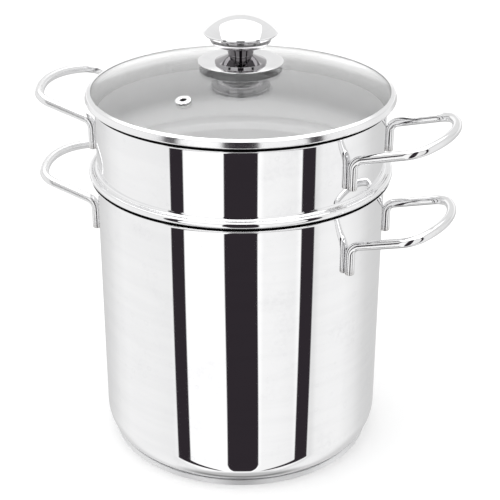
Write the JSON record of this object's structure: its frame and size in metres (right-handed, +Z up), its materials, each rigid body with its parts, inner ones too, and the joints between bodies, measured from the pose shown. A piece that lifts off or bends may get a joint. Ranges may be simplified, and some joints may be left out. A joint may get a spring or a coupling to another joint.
{
  "type": "pasta pot",
  "caption": "Tall stockpot with a perforated pasta insert seated in its rim, bent rod handles and a domed glass lid with a steel knob.",
  "frame": {"origin": "centre of the base disc's underside, on the surface the pot stands on", "axes": "+Z up along the pot's axis, +X towards one pair of handles, +Y across them"},
  "size_m": [0.3382, 0.234, 0.3427],
  "materials": {
    "pot_steel": "mirror polished stainless steel",
    "base_steel": "polished rim, turned underside",
    "insert_steel": "mirror polished outside, satin inside",
    "handle_steel": "polished stainless rod",
    "band_steel": "polished rolled strip",
    "lid_glass": "clear tempered glass",
    "knob_steel": "mirror polished stainless steel",
    "fastener_steel": "plain turned steel",
    "silicone": "translucent grey silicone"
  },
  "bodies": {
    "root": {"pot_shell": "pot_steel", "pot_base_disc": "base_steel", "pot_handle_right": "handle_steel", "pot_handle_left": "handle_steel", "insert_shell": "insert_steel", "insert_handle_right": "handle_steel", "insert_handle_left": "handle_steel", "lid_rim_band": "band_steel", "lid_glass": "lid_glass", "vent_seal": "silicone", "vent_eyelet": "band_steel", "knob_plate_gasket": "silicone", "knob_plate": "knob_steel", "knob_foot": "knob_steel", "knob_stem": "knob_steel", "knob_bowl": "knob_steel", "knob_cap": "knob_steel", "knob_nut": "fastener_steel", "knob_screw": "fastener_steel", "knob_under_gasket": "silicone", "knob_under_washer": "fastener_steel"}
  },
  "joints": []
}
